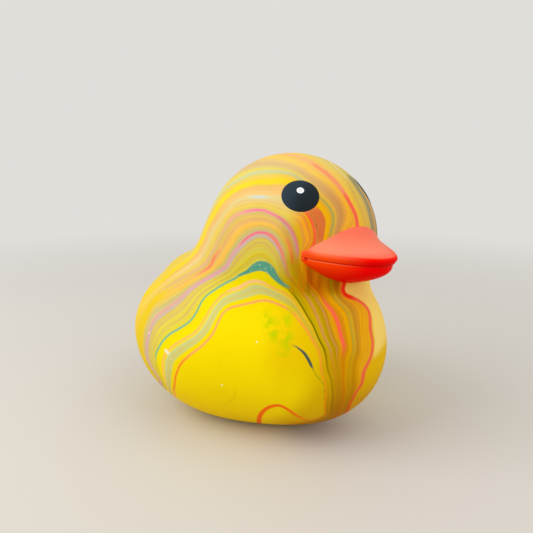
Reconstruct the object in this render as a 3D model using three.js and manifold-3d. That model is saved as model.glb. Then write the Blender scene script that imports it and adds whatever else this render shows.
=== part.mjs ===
// A squishy toy duck, moulded in one piece of soft marbled foam.
// Belly, breast, neck, head and tail are ellipsoids that flow into each other, the bill is a loft across
// the face with a mouth groove round its rim, and a flat foot is cut at the ground.
// +X runs out of the bill, +Y to the duck's left and +Z up.
// The origin is on the foot, under the belly's centre.
import * as THREE from 'three';
import Module from 'manifold-3d';

// Driving dimensions in millimetres.
// Belly: the widest form, with its centre right above the origin.
const BELLY_HEIGHT = 33;
const BELLY_AHEAD = 35.5;
const BELLY_BEHIND = 45;
const BELLY_HALF_WIDTH = 45.5;
const BELLY_ABOVE = 31;
const BELLY_BELOW = 36.7;

// Breast: fills out the front of the belly, under the bill.
const BREAST_FORWARD = 36;
const BREAST_HEIGHT = 35.4;
const BREAST_RADIUS = 27;
const BREAST_HALF_WIDTH = 22;
const BREAST_BLEND = 32;

// Tail: a short point at the top of the rump.
const TAIL_BACK = 36;
const TAIL_HEIGHT = 44.5;
const TAIL_HALF_LENGTH = 14;
const TAIL_HALF_WIDTH = 10;
const TAIL_RADIUS = 8.5;
const TAIL_BLEND = 19.5;

// Neck: a broad stump that carries the head.
const NECK_FORWARD = 6.5;
const NECK_HEIGHT = 45;
const NECK_AHEAD = 25.5;
const NECK_BEHIND = 35;
const NECK_HALF_WIDTH = 29.2;
const NECK_RADIUS = 28;
const NECK_BLEND = 17.5;

// Head: almost a ball, set forward of the belly's middle.
const HEAD_FORWARD = 24.5;
const HEAD_HEIGHT = 70.5;
const HEAD_HALF_LENGTH = 30.5;
const HEAD_HALF_WIDTH = 30;
const HEAD_RADIUS = 29.5;

// Crease where the neck stands on the back and the breast.
const SHOULDER_BLEND = 6.3;

// Bill: how wide it is between the mouth's corners, how far it stands out of the face, and how high.
const BILL_HALF_WIDTH = 18.7;
const BILL_REACH = 12.8;
const BILL_CROWN = 8;
const BILL_KEEL = 5.9;
const BILL_SUNK = 9;
const MOUTH_BELOW_HEAD_CENTRE = 4.1;
const MOUTH_CORNER_RISE = 2.2;
const MOUTH_HALF_GAP = 0.12;
const MOUTH_GROOVE = 1.3;
const CORNER_LOBE = 1;
const UPPER_LIP_RADIUS = 1.3;
const LOWER_LIP_RADIUS = 0.65;
const LOWER_LIP_SETBACK = 1.7;

// Curves of the bill from its middle to the mouth's corners, as powers of the cosine across the face.
const REACH_POWER = 3.3;
const CROWN_POWER = 2.8;
const KEEL_POWER = 2.2;
const LOBE_POWER = 0.28;
const SUNK_POWER = 0.5;
const CORNER_RISE_POWER = 2.2;
// Curves of the bill from the face to its rim: a hollow ridge above, a full bowl below.
const RIDGE_POWER = 1.65;
const BOWL_POWER = 0.47;

// Fineness of the faces.
const SKIN_ROWS = 34;
const SKIN_COLUMNS = 60;
const COLUMN_CROWDING = 0.2;
const BILL_ROWS = 28;
const BILL_TOP_STEPS = 12;
const BILL_BOTTOM_STEPS = 9;
const LIP_STEPS = 5;
const TINY = 1e-9;

const BELLY = {
  centre: new THREE.Vector3(0, 0, BELLY_HEIGHT),
  ahead: BELLY_AHEAD,
  behind: BELLY_BEHIND,
  halfWidth: BELLY_HALF_WIDTH,
  above: BELLY_ABOVE,
  below: BELLY_BELOW,
};

const BREAST = {
  centre: new THREE.Vector3(BREAST_FORWARD, 0, BREAST_HEIGHT),
  ahead: BREAST_RADIUS,
  behind: BREAST_RADIUS,
  halfWidth: BREAST_HALF_WIDTH,
  above: BREAST_RADIUS,
  below: BREAST_RADIUS,
};

const TAIL = {
  centre: new THREE.Vector3(-TAIL_BACK, 0, TAIL_HEIGHT),
  ahead: TAIL_HALF_LENGTH,
  behind: TAIL_HALF_LENGTH,
  halfWidth: TAIL_HALF_WIDTH,
  above: TAIL_RADIUS,
  below: TAIL_RADIUS,
};

const NECK = {
  centre: new THREE.Vector3(NECK_FORWARD, 0, NECK_HEIGHT),
  ahead: NECK_AHEAD,
  behind: NECK_BEHIND,
  halfWidth: NECK_HALF_WIDTH,
  above: NECK_RADIUS,
  below: NECK_RADIUS,
};

const HEAD = {
  centre: new THREE.Vector3(HEAD_FORWARD, 0, HEAD_HEIGHT),
  ahead: HEAD_HALF_LENGTH,
  behind: HEAD_HALF_LENGTH,
  halfWidth: HEAD_HALF_WIDTH,
  above: HEAD_RADIUS,
  below: HEAD_RADIUS,
};

/** Rough distance from a point to an ellipsoid, negative inside it. */
function outsideOf(form, point) {
  const offset = point.clone().sub(form.centre);
  const reach = new THREE.Vector3(
    offset.x > 0 ? form.ahead : form.behind,
    form.halfWidth,
    offset.z > 0 ? form.above : form.below,
  );
  const scaled = offset.divide(reach);
  const size = scaled.length();
  const steepness = scaled.divide(reach).length();
  return (size * (size - 1)) / Math.max(steepness, TINY);
}

/** The smaller of two distances, rounded over a blend where they meet. */
function blendUnion(first, second, blend) {
  const overlap = Math.max(blend - Math.abs(first - second), 0) / blend;
  return Math.min(first, second) - (overlap * overlap * blend) / 4;
}

/** Rough distance from a point to the duck's skin without its bill, negative inside. */
function outsideOfSkin(point) {
  const front = blendUnion(outsideOf(BELLY, point), outsideOf(BREAST, point), BREAST_BLEND);
  const trunk = blendUnion(front, outsideOf(TAIL, point), TAIL_BLEND);
  const top = blendUnion(outsideOf(HEAD, point), outsideOf(NECK, point), NECK_BLEND);
  return blendUnion(trunk, top, SHOULDER_BLEND);
}

/** How far along a ray from inside the duck its skin lies, by halving. */
function reachOfSkin(start, direction, farthest) {
  let inside = 0;
  let outside = farthest;
  while (outside - inside > TINY) {
    const middle = (inside + outside) / 2;
    const point = start.clone().addScaledVector(direction, middle);
    if (outsideOfSkin(point) < 0) {
      inside = middle;
    } else {
      outside = middle;
    }
  }
  return (inside + outside) / 2;
}

/** A closed surface over rings of equally many points, drawn together to a pole at each end. */
function loft(firstPole, rings, lastPole) {
  const count = rings[0].length;
  const points = [firstPole, ...rings.flat(), lastPole];
  const last = points.length - 1;
  const index = [];
  for (let column = 0; column < count; column += 1) {
    const next = (column + 1) % count;
    index.push(0, 1 + column, 1 + next);
    for (let row = 0; row < rings.length - 1; row += 1) {
      const here = 1 + row * count;
      const below = here + count;
      index.push(here + column, below + column, below + next);
      index.push(here + column, below + next, here + next);
    }
    const rim = 1 + (rings.length - 1) * count;
    index.push(last, rim + next, rim + column);
  }
  const geometry = new THREE.BufferGeometry().setFromPoints(points);
  geometry.setIndex(index);
  return geometry;
}

/**
 * The skin: rays from the middle of the neck, from straight up to the rim of the flat foot.
 * Their columns crowd together at the bill and the tail, where the skin bends most.
 */
function skinGeometry() {
  const core = NECK.centre;
  const farthest = BELLY_BEHIND + BELLY_HALF_WIDTH + HEAD_HEIGHT + HEAD_RADIUS;
  const up = new THREE.Vector3(0, 0, 1);
  const ground = new THREE.Vector3(core.x, 0, 0);
  const rings = Array.from({ length: SKIN_ROWS }, () => []);
  for (let column = 0; column < SKIN_COLUMNS; column += 1) {
    const even = (2 * Math.PI * (column + 0.5)) / SKIN_COLUMNS;
    const turn = even - COLUMN_CROWDING * Math.sin(2 * even);
    const outward = new THREE.Vector3(Math.cos(turn), Math.sin(turn), 0);
    const rimReach = reachOfSkin(ground, outward, farthest);
    const rimAngle = Math.PI / 2 + Math.atan(core.z / rimReach);
    for (let row = 0; row < SKIN_ROWS - 1; row += 1) {
      const angle = (rimAngle * (row + 1)) / SKIN_ROWS;
      const direction = up.clone().multiplyScalar(Math.cos(angle));
      direction.addScaledVector(outward, Math.sin(angle));
      const reach = reachOfSkin(core, direction, farthest);
      rings[row].push(core.clone().addScaledVector(direction, reach));
    }
    rings[SKIN_ROWS - 1].push(ground.clone().addScaledVector(outward, rimReach));
  }
  const crown = core.clone().addScaledVector(up, reachOfSkin(core, up, farthest));
  return loft(crown, rings, ground);
}

/** One lengthwise section of the bill, over the top, round both lips and back along the bowl. */
function billSection(across) {
  const cosine = Math.cos(across);
  const sine = Math.abs(Math.sin(across));
  const side = BILL_HALF_WIDTH * Math.sin(across);
  const mouth = HEAD_HEIGHT - MOUTH_BELOW_HEAD_CENTRE + MOUTH_CORNER_RISE * sine ** CORNER_RISE_POWER;
  const drop = (mouth - HEAD_HEIGHT) / HEAD_RADIUS;
  const turn = side / HEAD_HALF_WIDTH;
  const face = HEAD_FORWARD + HEAD_HALF_LENGTH * Math.sqrt(Math.max(1 - drop * drop - turn * turn, 0));
  const lobe = cosine ** LOBE_POWER;
  const rim = face + BILL_REACH * cosine ** REACH_POWER + CORNER_LOBE * lobe;
  const root = face - BILL_SUNK * cosine ** SUNK_POWER;
  const crown = BILL_CROWN * cosine ** CROWN_POWER;
  const keel = BILL_KEEL * cosine ** KEEL_POWER;
  const gap = MOUTH_HALF_GAP * lobe;
  const upper = UPPER_LIP_RADIUS * lobe;
  const lower = LOWER_LIP_RADIUS * lobe;
  const points = [];

  const topEnd = rim - upper;
  for (let step = 0; step < BILL_TOP_STEPS; step += 1) {
    const forward = THREE.MathUtils.lerp(root, topEnd, step / BILL_TOP_STEPS);
    const share = THREE.MathUtils.clamp((forward - face) / (topEnd - face), 0, 1);
    const height = mouth + gap + 2 * upper + crown * (1 - share) ** RIDGE_POWER;
    points.push(new THREE.Vector3(forward, side, height));
  }
  for (let step = 0; step <= LIP_STEPS; step += 1) {
    const angle = Math.PI / 2 - (Math.PI * step) / LIP_STEPS;
    const height = mouth + gap + upper + upper * Math.sin(angle);
    points.push(new THREE.Vector3(topEnd + upper * Math.cos(angle), side, height));
  }
  points.push(new THREE.Vector3(topEnd - MOUTH_GROOVE * lobe, side, mouth));

  const lipEnd = rim - LOWER_LIP_SETBACK * lobe;
  for (let step = 0; step <= LIP_STEPS; step += 1) {
    const angle = Math.PI / 2 - ((Math.PI / 2) * step) / LIP_STEPS;
    const height = mouth - gap - lower + lower * Math.sin(angle);
    points.push(new THREE.Vector3(lipEnd - lower + lower * Math.cos(angle), side, height));
  }
  for (let step = 1; step <= BILL_BOTTOM_STEPS; step += 1) {
    const forward = THREE.MathUtils.lerp(lipEnd, root, (step / BILL_BOTTOM_STEPS) ** 2);
    const share = THREE.MathUtils.clamp((lipEnd - forward) / (lipEnd - face), 0, 1);
    const height = mouth - gap - lower - (keel + lower) * share ** BOWL_POWER;
    points.push(new THREE.Vector3(forward, side, height));
  }
  return points;
}

/** The bill: its sections from the left corner of the mouth round to the right corner. */
function billGeometry() {
  const rings = [];
  for (let row = 1; row < BILL_ROWS; row += 1) {
    rings.push(billSection(Math.PI / 2 - (Math.PI * row) / BILL_ROWS));
  }
  const mouth = HEAD_HEIGHT - MOUTH_BELOW_HEAD_CENTRE + MOUTH_CORNER_RISE;
  const drop = (mouth - HEAD_HEIGHT) / HEAD_RADIUS;
  const turn = BILL_HALF_WIDTH / HEAD_HALF_WIDTH;
  const face = HEAD_FORWARD + HEAD_HALF_LENGTH * Math.sqrt(Math.max(1 - drop * drop - turn * turn, 0));
  const left = new THREE.Vector3(face, BILL_HALF_WIDTH, mouth);
  const right = new THREE.Vector3(face, -BILL_HALF_WIDTH, mouth);
  return loft(left, rings, right);
}

const wasm = await Module();
wasm.setup();

/** A closed geometry as a solid that can be joined to others. */
function toSolid(geometry) {
  const vertProperties = new Float32Array(geometry.getAttribute('position').array);
  const triVerts = new Uint32Array(geometry.getIndex().array);
  return new wasm.Manifold(new wasm.Mesh({ numProp: 3, vertProperties, triVerts }));
}

/** A joined solid as a geometry again. */
function toGeometry(solid) {
  const mesh = solid.getMesh();
  const geometry = new THREE.BufferGeometry();
  geometry.setAttribute('position', new THREE.Float32BufferAttribute(mesh.vertProperties, 3));
  geometry.setIndex(new THREE.Uint32BufferAttribute(mesh.triVerts, 1));
  geometry.computeVertexNormals();
  return geometry;
}

const foam = new THREE.MeshStandardMaterial({ color: 0xf2d51a, roughness: 0.6, metalness: 0 });
const duck = new THREE.Mesh(toGeometry(toSolid(skinGeometry()).add(toSolid(billGeometry()))), foam);
duck.name = 'duck';

const toy = new THREE.Group();
toy.add(duck);

export default toy;
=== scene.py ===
from math import cos, pi, radians, sin
from types import SimpleNamespace

import bpy
import numpy as np
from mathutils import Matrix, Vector


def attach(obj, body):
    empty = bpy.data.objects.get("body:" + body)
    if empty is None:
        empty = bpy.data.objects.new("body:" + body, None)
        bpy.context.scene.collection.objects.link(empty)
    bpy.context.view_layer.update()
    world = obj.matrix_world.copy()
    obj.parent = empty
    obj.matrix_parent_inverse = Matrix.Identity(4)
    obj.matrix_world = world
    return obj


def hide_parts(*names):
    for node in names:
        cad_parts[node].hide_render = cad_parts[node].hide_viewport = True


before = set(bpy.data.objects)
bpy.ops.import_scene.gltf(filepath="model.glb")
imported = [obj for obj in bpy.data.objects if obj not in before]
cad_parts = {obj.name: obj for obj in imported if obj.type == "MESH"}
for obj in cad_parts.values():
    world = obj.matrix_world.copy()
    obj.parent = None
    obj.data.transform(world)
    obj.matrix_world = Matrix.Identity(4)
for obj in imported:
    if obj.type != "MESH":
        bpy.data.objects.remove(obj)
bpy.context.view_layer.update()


# Skin: the whole toy is one soft moulding of slow-rising foam with a satin skin and a flat foot.
# Streams of coloured foam are poured into the mould one after another and fold into each other,
# so the colours lie in nested sheets that come out as stripes round a clear yellow patch.
MM = 0.001

# Ellipsoids that flow into each other, in millimetres from the foot under the belly's centre.
BELLY = {"centre": (0, 0, 33), "ahead": 35.5, "behind": 45, "aside": 45.5, "above": 31, "below": 36.7}
BREAST = {"centre": (36, 0, 35.4), "ahead": 27, "behind": 27, "aside": 22, "above": 27, "below": 27}
TAIL = {"centre": (-36, 0, 44.5), "ahead": 14, "behind": 14, "aside": 10, "above": 8.5, "below": 8.5}
NECK = {"centre": (6.5, 0, 45), "ahead": 25.5, "behind": 35, "aside": 29.2, "above": 28, "below": 28}
HEAD = {
    "centre": (24.5, 0, 70.5), "ahead": 30.5, "behind": 30.5, "aside": 30, "above": 29.5, "below": 29.5
}
# How near to each other two forms' distances come, in millimetres, before the forms flow together.
BREAST_BLEND = 32
TAIL_BLEND = 19.5
NECK_BLEND = 17.5
SHOULDER_BLEND = 6.3
FOOT_EDGE = 2.5
# Rows and columns of the skin's grid, and how far its columns crowd towards the bill and the tail.
SKIN_ROWS = 236
SKIN_COLUMNS = 400
COLUMN_CROWDING = 0.2
# How far a ray looks for the skin, in millimetres, and how often its crossing is halved in.
RAY_REACH = 130.0
HALVINGS = 40


def outside_of(form, points):
    """Rough distance to an ellipsoid, negative inside.

    With q the offset over the reach in its direction, and g that over the reach again,
    the distance is |q| (|q| - 1) / |g|.
    """
    offset = points - np.array(form["centre"], float)
    reach = np.empty_like(offset)
    reach[..., 0] = np.where(offset[..., 0] > 0, form["ahead"], form["behind"])
    reach[..., 1] = form["aside"]
    reach[..., 2] = np.where(offset[..., 2] > 0, form["above"], form["below"])
    scaled = offset / reach
    size = np.linalg.norm(scaled, axis=-1)
    steepness = np.linalg.norm(scaled / reach, axis=-1)
    return size * (size - 1) / np.maximum(steepness, 1e-9)


def blend_union(first, second, blend):
    """The smaller of two distances, less a quarter of blend times the square of how far they overlap."""
    overlap = np.maximum(blend - np.abs(first - second), 0) / blend
    return np.minimum(first, second) - overlap**2 * blend / 4


def outside_of_skin(points):
    """Rough distance to the duck without its bill: trunk and head blended, cut off at the ground."""
    front = blend_union(outside_of(BELLY, points), outside_of(BREAST, points), BREAST_BLEND)
    trunk = blend_union(front, outside_of(TAIL, points), TAIL_BLEND)
    top = blend_union(outside_of(HEAD, points), outside_of(NECK, points), NECK_BLEND)
    duck = blend_union(trunk, top, SHOULDER_BLEND)
    return -blend_union(-duck, points[..., 2], FOOT_EDGE)


def skin_along(start, directions):
    """Where rays from inside the duck leave its skin, each crossing being halved in."""
    start = np.array(start, float)
    inside = np.zeros(directions.shape[:-1])
    outside = np.full(directions.shape[:-1], RAY_REACH)
    for _ in range(HALVINGS):
        middle = (inside + outside) / 2
        within = outside_of_skin(start + directions * middle[..., None]) < 0
        inside = np.where(within, middle, inside)
        outside = np.where(within, outside, middle)
    return start + directions * inside[..., None]


def closed_piece(name, first_pole, rings, last_pole):
    """A closed mesh over rings of points, each joined to the next and drawn to a pole at both ends."""
    count, across = rings.shape[:2]
    points = np.vstack([first_pole, rings.reshape(-1, 3), last_pole]) * MM
    here = 1 + np.arange(count * across).reshape(count, across)
    beside = np.roll(here, -1, axis=1)
    quads = np.stack([here[:-1], here[1:], beside[1:], beside[:-1]], -1).reshape(-1, 4)
    first_fan = np.stack([np.zeros(across, int), here[0], beside[0]], -1)
    last_fan = np.stack([np.full(across, len(points) - 1), beside[-1], here[-1]], -1)
    mesh = bpy.data.meshes.new(name)
    mesh.from_pydata(points.tolist(), [], first_fan.tolist() + quads.tolist() + last_fan.tolist())
    mesh.polygons.foreach_set("use_smooth", np.ones(len(mesh.polygons), bool))
    piece = bpy.data.objects.new(name, mesh)
    bpy.context.scene.collection.objects.link(piece)
    return piece


def skin_grid():
    """Skin points over turn and polar angle, seen from the neck's middle.

    Turn runs once round with its columns crowded at the bill and the tail by a sine of twice
    the turn, and the polar angle runs from straight up to straight down in equal steps.
    """
    even = 2 * pi * (np.arange(SKIN_COLUMNS) + 0.5) / SKIN_COLUMNS
    turn = (even - COLUMN_CROWDING * np.sin(2 * even))[None, :]
    polar = (pi * np.arange(1, SKIN_ROWS + 1) / (SKIN_ROWS + 1))[:, None]
    ways = np.stack(
        [np.sin(polar) * np.cos(turn), np.sin(polar) * np.sin(turn), np.cos(polar) + 0 * turn], -1
    )
    core = NECK["centre"]
    return (
        skin_along(core, np.array([0.0, 0, 1])),
        skin_along(core, ways),
        skin_along(core, np.array([0.0, 0, -1])),
    )


skin = closed_piece("skin", *skin_grid())

# The photograph's own view, from which the stripes' places are read: its side in pixels, the focal
# length in pixels, where the lens stood, in millimetres, and how far it was turned and tilted down.
# Rays from it are tried at so many steps over the distances at which the skin can lie.
PHOTO_SIDE = 533
FOCAL_PIXELS = 523
LENS_AT = (159.4, -129.2, 99.1)
LENS_HEADING = radians(49)
LENS_TILT = radians(12)
NEAREST_SKIN = 100
FURTHEST_SKIN = 300
LENS_RAY_STEPS = 801


def under_pixel(pixels):
    """Places on the skin under pixels of the photograph.

    Each ray is stepped from the lens until it first enters the duck and then halved in. A ray
    that just misses takes its nearest point.
    """
    pixels = np.array(pixels, float)
    heading = np.array([-sin(LENS_HEADING), cos(LENS_HEADING), 0])
    right = np.array([cos(LENS_HEADING), sin(LENS_HEADING), 0])
    forward = heading * cos(LENS_TILT) - np.array([0, 0, sin(LENS_TILT)])
    above = heading * sin(LENS_TILT) + np.array([0, 0, cos(LENS_TILT)])
    aside = (pixels - PHOTO_SIDE / 2) / FOCAL_PIXELS
    rays = forward + right * aside[:, :1] - above * aside[:, 1:]
    reach = np.linspace(NEAREST_SKIN, FURTHEST_SKIN, LENS_RAY_STEPS)
    trial = outside_of_skin(np.array(LENS_AT) + rays[:, None] * reach[:, None])
    entered = trial < 0
    stop = np.where(entered.any(1), entered.argmax(1), trial.argmin(1))
    low, high = reach[stop - 1], reach[stop]
    for _ in range(HALVINGS):
        middle = (low + high) / 2
        within = outside_of_skin(np.array(LENS_AT) + rays * middle[:, None]) < 0
        low, high = np.where(within, low, middle), np.where(within, middle, high)
    return np.array(LENS_AT) + rays * high[:, None]


# Stripes: the sheet of colour that each one is, counted outwards from the clear patch on the flank,
# and photograph pixels along it.
STRIPES = {
    "middle of the patch": (0.2, [
        (250, 365), (220, 390), (290, 395), (255, 410), (200, 380), (310, 375), (200, 404), (230, 416),
        (262, 421), (288, 421), (308, 416), (318, 395), (313, 418), (320, 412),
    ]),
    "edge of the patch": (0.6, [(250, 322), (215, 355), (285, 335), (181, 393), (186, 398)]),
    "salmon": (1.0, [
        (174, 396), (174, 388), (175, 378), (179, 368), (186, 359), (195, 351), (205, 342), (213, 333),
        (217, 324), (221, 316), (227, 310), (235, 306), (247, 303), (258, 301), (270, 301), (276, 303),
        (285, 307), (292, 312), (298, 318), (303, 325), (308, 332), (313, 340), (318, 348), (321, 355),
        (322, 364), (324, 372), (327, 382), (327, 394), (326, 406), (326, 414),
    ]),
    "sage": (2.0, [
        (168, 387), (168, 378), (168, 367), (170, 357), (177, 351), (187, 344), (198, 337), (205, 329),
        (211, 319), (216, 309), (223, 302), (232, 298), (244, 294), (254, 290), (262, 289), (275, 294),
        (285, 300), (293, 304), (298, 310), (304, 320), (311, 330), (329, 396), (328, 406), (328, 414),
    ]),
    "peach": (2.9, [
        (164, 378), (163, 368), (164, 359), (170, 350), (181, 342), (191, 336), (199, 329), (204, 320),
        (210, 311), (217, 302), (226, 293), (240, 288), (247, 283), (256, 281), (268, 286), (281, 292),
        (290, 298), (296, 304), (303, 314), (331, 398), (330, 406), (330, 413),
    ]),
    "teal, thin": (4.0, [
        (155, 357), (158, 349), (163, 340), (171, 333), (183, 326), (191, 320), (196, 313), (200, 304),
        (206, 295), (218, 287), (228, 281), (239, 275), (286, 286), (292, 289), (296, 295), (302, 306),
        (309, 318), (316, 332), (321, 343), (325, 352), (326, 362), (327, 372), (332, 384), (332, 406),
    ]),
    "teal, upper edge": (4.2, [
        (246, 270), (250, 267), (256, 263), (261, 261), (267, 264), (271, 268), (274, 275),
    ]),
    "teal, lower edge": (3.8, [
        (246, 274), (250, 273), (258, 272), (262, 271), (268, 274), (273, 280), (279, 285),
    ]),
    "lavender and pink": (6.1, [
        (162, 385), (160, 380), (153, 370), (149, 362), (147, 346), (149, 335), (151, 326), (156, 318),
        (165, 311), (175, 304), (184, 296), (191, 289), (201, 282), (210, 277), (217, 273), (225, 269),
        (228, 264), (231, 258), (234, 252), (241, 245), (246, 240), (252, 236), (258, 233), (264, 233),
        (270, 235), (274, 240), (278, 246), (282, 254), (284, 262), (287, 270), (291, 278), (295, 284),
        (301, 290), (307, 295), (312, 304), (317, 314), (321, 326), (325, 339), (331, 350), (333, 362),
        (336, 384), (336, 404),
    ]),
    "sage over the rump": (6.6, [(145, 331), (150, 316), (161, 304), (172, 296)]),
    "orange": (7.0, [
        (268, 224), (259, 223), (250, 224), (241, 228), (234, 236), (231, 244), (223, 256), (278, 229),
        (283, 235), (288, 243), (291, 252), (292, 262), (297, 277), (141, 327), (147, 313), (155, 299),
    ]),
    "coral spot": (7.4, [
        (227, 236), (222, 245), (216, 255), (213, 260), (211, 265), (204, 271), (195, 275),
    ]),
    "upper pink": (8.0, [
        (231, 219), (234, 216), (241, 213), (249, 211), (257, 210), (263, 210), (270, 213), (278, 217),
        (284, 222), (289, 228), (292, 234), (294, 241), (296, 249), (297, 257), (298, 266), (303, 280),
        (308, 289), (320, 303), (326, 316), (331, 329), (335, 341), (337, 355), (340, 384), (340, 403),
    ]),
    "olive yellow": (8.3, [(227, 219), (220, 230), (213, 245), (204, 259), (193, 268), (176, 279)]),
    "gold on the cheek": (8.38, [(300, 216), (305, 227), (307, 237), (307, 246), (331, 322), (337, 340)]),
    "coral under the eye": (8.7, [
        (307, 212), (311, 221), (314, 229), (315, 238), (315, 243), (309, 276), (311, 285), (323, 301),
        (332, 310), (337, 319), (340, 329), (343, 341), (345, 352), (344, 372), (342, 403),
    ]),
    "pale": (9.0, [
        (268, 197), (261, 197), (250, 197), (241, 199), (232, 204), (224, 212), (220, 219), (215, 226),
        (210, 234), (208, 242), (313, 214), (318, 224), (319, 233), (319, 241),
    ]),
    "terracotta": (9.6, [
        (270, 188), (255, 188), (236, 195), (230, 200), (223, 207), (218, 215), (213, 224), (206, 238),
        (197, 256), (184, 267), (319, 210), (323, 218), (324, 226), (323, 236), (321, 280), (324, 290),
        (346, 330), (349, 345),
    ]),
    "broad yellow": (10.3, [
        (270, 181), (258, 181), (246, 184), (234, 189), (227, 195), (221, 201), (216, 209), (211, 218),
        (207, 226), (203, 237), (198, 245), (187, 260), (179, 266), (170, 273), (162, 281), (155, 288),
        (321, 206), (326, 213), (329, 222), (328, 231), (325, 239), (345, 314), (349, 330), (351, 345),
    ]),
    "sage over the eye": (11.0, [
        (220, 195), (223, 190), (230, 185), (238, 180), (248, 175), (258, 172), (270, 171), (286, 172),
        (294, 175), (300, 178), (321, 199), (326, 203), (331, 210), (334, 218), (333, 226), (330, 234),
        (194, 249), (185, 255), (175, 262), (167, 271), (160, 278), (342, 306), (348, 313), (350, 323),
        (352, 335), (354, 348), (349, 368), (348, 378), (345, 404),
    ]),
    "tan": (12.3, [
        (250, 163), (264, 161), (279, 162), (293, 166), (307, 174), (317, 180), (322, 183), (331, 191),
        (338, 200), (342, 210), (342, 221), (339, 229), (356, 316), (358, 331), (358, 346), (355, 362),
    ]),
    "gold beside the coral": (12.82, [
        (364, 320), (365, 332), (366, 345), (365, 357), (361, 368), (359, 378),
    ]),
    "coral over the forehead": (13.0, [
        (288, 154), (302, 158), (312, 163), (323, 170), (331, 177), (339, 186), (346, 196), (351, 205),
        (356, 215), (357, 224), (358, 233), (346, 284), (342, 289), (343, 294), (353, 297), (360, 301),
        (367, 307), (370, 315), (370.5, 327), (373.5, 341), (372.5, 355), (368.5, 365), (365, 377),
        (361, 387), (354, 395), (349, 405), (347, 410), (345, 414),
    ]),
    "cream": (13.8, [
        (319, 155), (329, 162), (338, 170), (345, 176), (351, 190), (357, 203), (362, 216), (356, 290),
        (378, 315), (381, 335), (380, 350), (374, 370), (366, 388), (358, 400), (352, 408),
    ]),
    "grey by the far eye": (14.6, [
        (351, 178), (358, 188), (364, 197), (368, 206), (371, 217), (373, 226),
    ]),
    "tan by the far eye": (15.0, [(375, 226), (373, 212), (368, 199)]),
}
# Sheets where the photograph shows nothing, with places on the skin in millimetres.
UNSEEN = {
    "patch under the foot": (0.0, [(-20, -15, 0), (0, -15, 0), (20, -15, 0), (-10, 0, 0), (15, 0, 0)]),
    "cream on the far breast": (13.8, [
        (50, 14, 62), (55, 14, 52), (57, 14, 43), (57, 13, 34), (55, 12, 25), (50, 10, 14),
    ]),
}
# How gently the field bends at each of those places, in millimetres, and how far it may pass them by.
STRIPE_EASE = 3.0
STRIPE_SLACK = 0.4
# The far flank takes the near one's stripes: how they are shifted, in millimetres, the most that the
# skin there may face the lens, and how far aside it lies at least.
FAR_SIDE_SHIFT = (-8.0, 9.0, 5.0)
FAR_SIDE_FACING = -0.25
FAR_SIDE_ASIDE = 16
# Waves that bend the outer sheets where the photograph doesn't show them: the way each one runs, in
# radians to the millimetre, its start and its height in sheets. They come in as the skin turns away
# from the lens, and from one sheet outwards, each over a fade.
WAVES = [((0.03, 0.17, 0.06), 0.4, 1.5), ((-0.1, 0.03, 0.07), 1.9, 0.7), ((0.05, -0.09, 0.14), 3.1, 0.5)]
WAVE_FACING = 0.05
WAVE_FACING_FADE = 0.5
WAVE_SHEET = 6.5
WAVE_SHEET_FADE = 1.5
# The small step, in millimetres, that slopes are taken over, and the batches that the points come in.
SLOPE_STEP = 0.01
FIELD_BATCHES = 24


def steepest(points):
    """Outward direction of the skin at points, from how its distance grows over a small step each way."""
    steps = SLOPE_STEP * np.eye(3)
    growth = np.stack([outside_of_skin(points + s) - outside_of_skin(points - s) for s in steps], -1)
    return growth / np.linalg.norm(growth, axis=-1, keepdims=True)


def facing_lens(points):
    """Cosine of the angle between the skin's outward direction at points and the way to the lens."""
    to_lens = np.array(LENS_AT) - points
    return (steepest(points) * to_lens).sum(-1) / np.linalg.norm(to_lens, axis=-1)


def onto_skin(points):
    """Places where the rays from the neck's middle through points leave the skin."""
    ways = points - np.array(NECK["centre"])
    return skin_along(NECK["centre"], ways / np.linalg.norm(ways, axis=-1, keepdims=True))


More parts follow.
